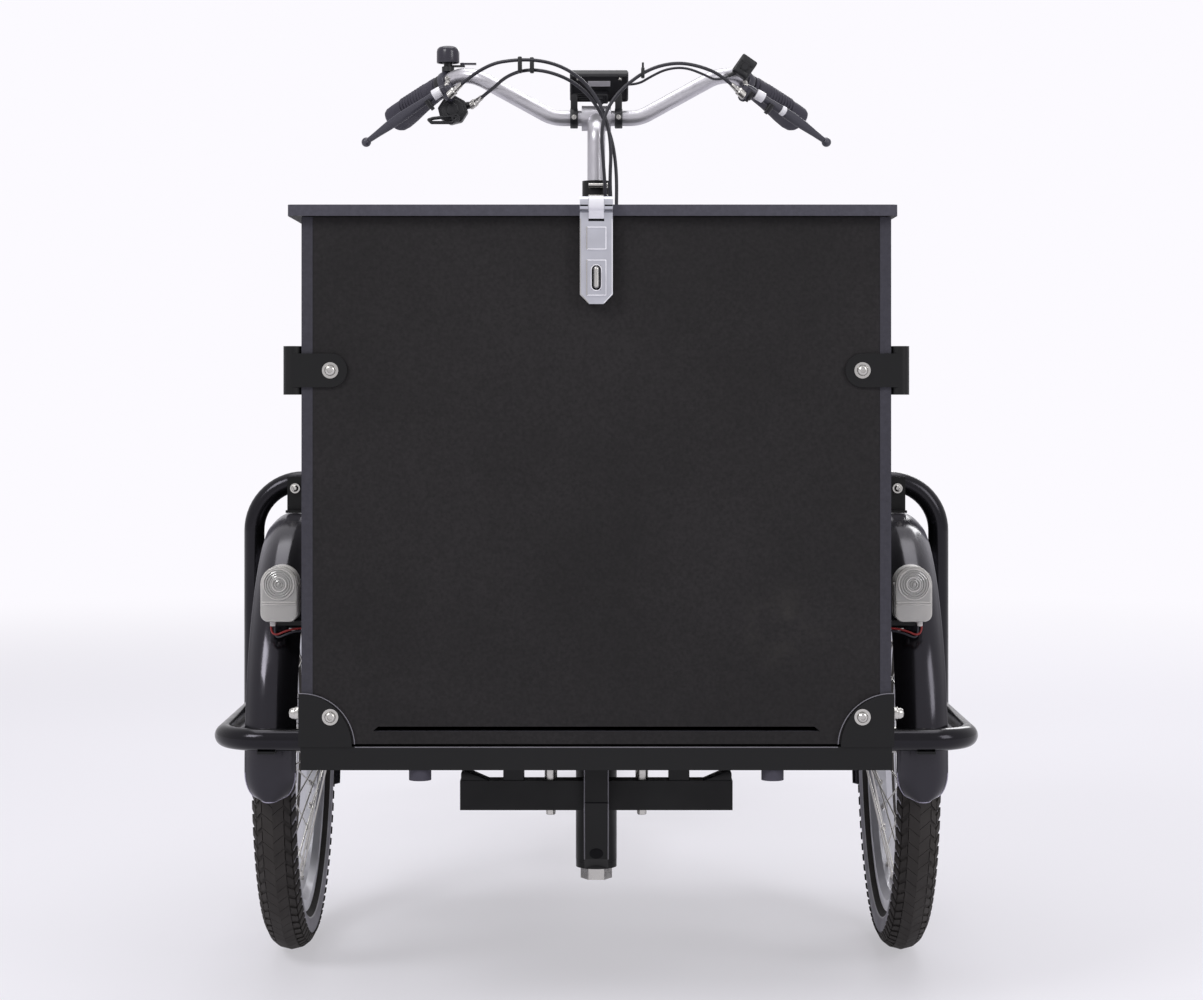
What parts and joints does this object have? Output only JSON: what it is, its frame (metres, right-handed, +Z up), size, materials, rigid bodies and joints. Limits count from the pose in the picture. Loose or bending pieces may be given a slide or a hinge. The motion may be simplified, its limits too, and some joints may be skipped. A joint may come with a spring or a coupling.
{
  "type": "cargo tricycle",
  "caption": "Cargo tricycle with a lidded plywood box between the front wheels that steers about a kingpin, electric drive to the rear wheel, lamps and mudguards.",
  "frame": {"origin": "on the ground, under the middle of the tricycle's length and width", "axes": "the front faces -Y, +X is the rider's left, +Z is up"},
  "size_m": [0.872, 2.173, 1.186],
  "materials": {
    "plywood_black": "film-faced plywood, fine mesh texture",
    "frame_black": "satin powder coat",
    "stainless": "plain stainless",
    "hasp_zinc": "zinc plated",
    "fender_black": "gloss black",
    "tyre": "matt",
    "rim_silver": "anodised",
    "hub_steel": "plain",
    "bar_silver": "satin anodised",
    "rubber_black": "matt",
    "plastic_black": "fine grained",
    "bell_black": "satin",
    "lever_grey": "satin",
    "lamp_body": "clear over a silver reflector",
    "lamp_clear": "clear",
    "tail_red": "clear red",
    "motor_grey": "cast, painted",
    "drive_steel": "oiled",
    "bush_bronze": "plain",
    "seatpost_silver": "satin",
    "saddle_black": "soft grain"
  },
  "bodies": {
    "rear_frame": {"main_frame": "frame_black", "frame_bushes": "bush_bronze", "rear_fender": "fender_black", "rear_rack": "frame_black", "battery": "plastic_black", "tail_light": "tail_red", "motor_unit": "motor_grey", "chain": "drive_steel"},
    "front_carriage": {"base_frame": "frame_black", "floor_panel": "plywood_black", "front_panel": "plywood_black", "box_panels": "plywood_black", "corner_plates": "frame_black", "pole_sockets": "frame_black", "carriage_bolts": "stainless", "pivot_yoke": "frame_black", "kingpin": "stainless", "rubber_buffers": "rubber_black", "wheel_guards": "frame_black", "front_fenders": "fender_black", "wheel_brackets": "frame_black", "headlight_housings": "lamp_body", "headlight_lenses": "lamp_clear", "lamp_leads": "rubber_black", "front_axles": "stainless", "steering_post": "frame_black", "stem": "bar_silver", "handlebar": "bar_silver", "grips": "rubber_black", "bar_controls": "plastic_black", "bell": "bell_black", "display": "plastic_black", "control_cables": "rubber_black", "box_hinge_leaves": "frame_black", "hasp_staple": "hasp_zinc"},
    "lid": {"lid": "plywood_black", "lid_hinge_leaves": "frame_black", "hasp_plate": "hasp_zinc"},
    "hasp": {"hasp_leaf": "hasp_zinc"},
    "brake_lever_left": {"brake_lever_left": "lever_grey"},
    "brake_lever_right": {"brake_lever_right": "lever_grey"},
    "shift_lever": {"shift_lever": "plastic_black"},
    "bell_lever": {"bell_lever": "bell_black"},
    "assist_button": {"assist_button": "plastic_black"},
    "wheel_left": {"tyre_left": "tyre", "rim_left": "rim_silver", "hub_left": "hub_steel"},
    "wheel_right": {"tyre_right": "tyre", "rim_right": "rim_silver", "hub_right": "hub_steel"},
    "wheel_rear": {"tyre_rear": "tyre", "rim_rear": "rim_silver", "hub_rear": "hub_steel"},
    "crank": {"crankset": "drive_steel"},
    "pedal_left": {"pedal_left": "plastic_black"},
    "pedal_right": {"pedal_right": "plastic_black"},
    "sprocket": {"rear_sprocket": "drive_steel"},
    "seat": {"seatpost": "seatpost_silver", "saddle": "saddle_black"}
  },
  "joints": [
    {"name": "steering", "type": "hinge", "parent": "rear_frame", "child": "front_carriage", "pos_m": [0, -0.7585, 0.133], "axis": [0, 0, 1], "range_deg": [-30, 30]},
    {"name": "wheel_left_spin", "type": "hinge", "parent": "front_carriage", "child": "wheel_left", "pos_m": [0.371, -0.6085, 0.254], "axis": [1, 0, 0], "continuous": true},
    {"name": "wheel_right_spin", "type": "hinge", "parent": "front_carriage", "child": "wheel_right", "pos_m": [-0.371, -0.6085, 0.254], "axis": [1, 0, 0], "continuous": true},
    {"name": "wheel_rear_spin", "type": "hinge", "parent": "rear_frame", "child": "wheel_rear", "pos_m": [0, 0.7315, 0.329], "axis": [1, 0, 0], "continuous": true},
    {"name": "crank_spin", "type": "hinge", "parent": "rear_frame", "child": "crank", "pos_m": [0, 0.2515, 0.29], "axis": [1, 0, 0], "continuous": true},
    {"name": "sprocket_spin", "type": "hinge", "parent": "rear_frame", "child": "sprocket", "pos_m": [-0.054, 0.7315, 0.329], "axis": [1, 0, 0], "continuous": true},
    {"name": "pedal_left_spin", "type": "hinge", "parent": "crank", "child": "pedal_left", "pos_m": [0.084, 0.4215, 0.29], "axis": [1, 0, 0], "continuous": true},
    {"name": "pedal_right_spin", "type": "hinge", "parent": "crank", "child": "pedal_right", "pos_m": [-0.084, 0.0815, 0.29], "axis": [1, 0, 0], "continuous": true},
    {"name": "lid_hinge", "type": "hinge", "parent": "front_carriage", "child": "lid", "pos_m": [0, -0.174, 0.87225], "axis": [-1, 0, 0], "range_deg": [0, 75]},
    {"name": "hasp_hinge", "type": "hinge", "parent": "lid", "child": "hasp", "pos_m": [0, -1.0768, 0.8845], "axis": [-1, 0, 0], "range_deg": [0, 175]},
    {"name": "brake_left_pull", "type": "hinge", "parent": "front_carriage", "child": "brake_lever_left", "pos_m": [0.215, -0.0935, 1.115], "axis": [0.5635, -0.2464, 0.7885], "range_deg": [0, 18], "stiffness_Nm_per_rad": 2, "springref_deg": -8.59},
    {"name": "brake_right_pull", "type": "hinge", "parent": "front_carriage", "child": "brake_lever_right", "pos_m": [-0.215, -0.0935, 1.115], "axis": [0.5635, 0.2464, -0.7885], "range_deg": [0, 18], "stiffness_Nm_per_rad": 2, "springref_deg": -8.59},
    {"name": "shift_thumb", "type": "hinge", "parent": "front_carriage", "child": "shift_lever", "pos_m": [-0.205, -0.0755, 1.079], "axis": [0, -1, 0], "range_deg": [0, 28], "stiffness_Nm_per_rad": 0.3, "springref_deg": -11.46},
    {"name": "bell_ring", "type": "hinge", "parent": "front_carriage", "child": "bell_lever", "pos_m": [-0.19441, -0.04273, 1.162], "axis": [0, 0, 1], "range_deg": [0, 25], "stiffness_Nm_per_rad": 0.1, "springref_deg": -11.46},
    {"name": "assist_press", "type": "slide", "parent": "front_carriage", "child": "assist_button", "axis": [0, 1, 0], "range_m": [0, 0.001], "stiffness_N_per_m": 400, "springref_m": -0.0005},
    {"name": "seat_slide", "type": "slide", "parent": "rear_frame", "child": "seat", "axis": [0, 0.3584, 0.9336], "range_m": [-0.04, 0.1]}
  ],
  "couplings": [
    {"joint": "sprocket_spin", "follows": "crank_spin", "ratio": 2}
  ]
}
